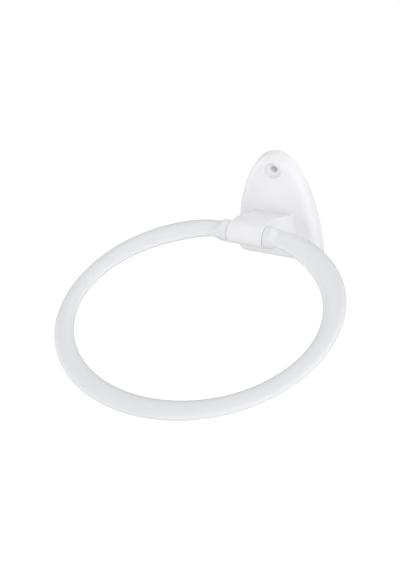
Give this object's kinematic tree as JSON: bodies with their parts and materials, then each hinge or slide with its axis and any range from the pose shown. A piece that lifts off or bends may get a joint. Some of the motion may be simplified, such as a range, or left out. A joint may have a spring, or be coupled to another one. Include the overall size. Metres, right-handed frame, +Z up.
{
  "type": "towel hanger",
  "caption": "Wall bracket with an arm and barrel that carries a large hinged plastic ring for hanging a towel.",
  "frame": {"origin": "on the wall, midway between the two screw holes", "axes": "+X to the right along the barrel, +Y into the wall, +Z up; the ring points towards -Y"},
  "size_m": [0.1718, 0.2164, 0.0796],
  "materials": {
    "bracket_plastic": "satin white moulded plastic",
    "ring_plastic": "satin white moulded plastic"
  },
  "bodies": {
    "bracket": {"wall_bracket": "bracket_plastic"},
    "ring": {"towel_ring": "ring_plastic"}
  },
  "joints": [
    {"name": "ring_hinge", "type": "hinge", "parent": "bracket", "child": "ring", "pos_m": [0, -0.0548, 0.0049], "axis": [1, 0, 0], "range_deg": [-114, 102]}
  ]
}
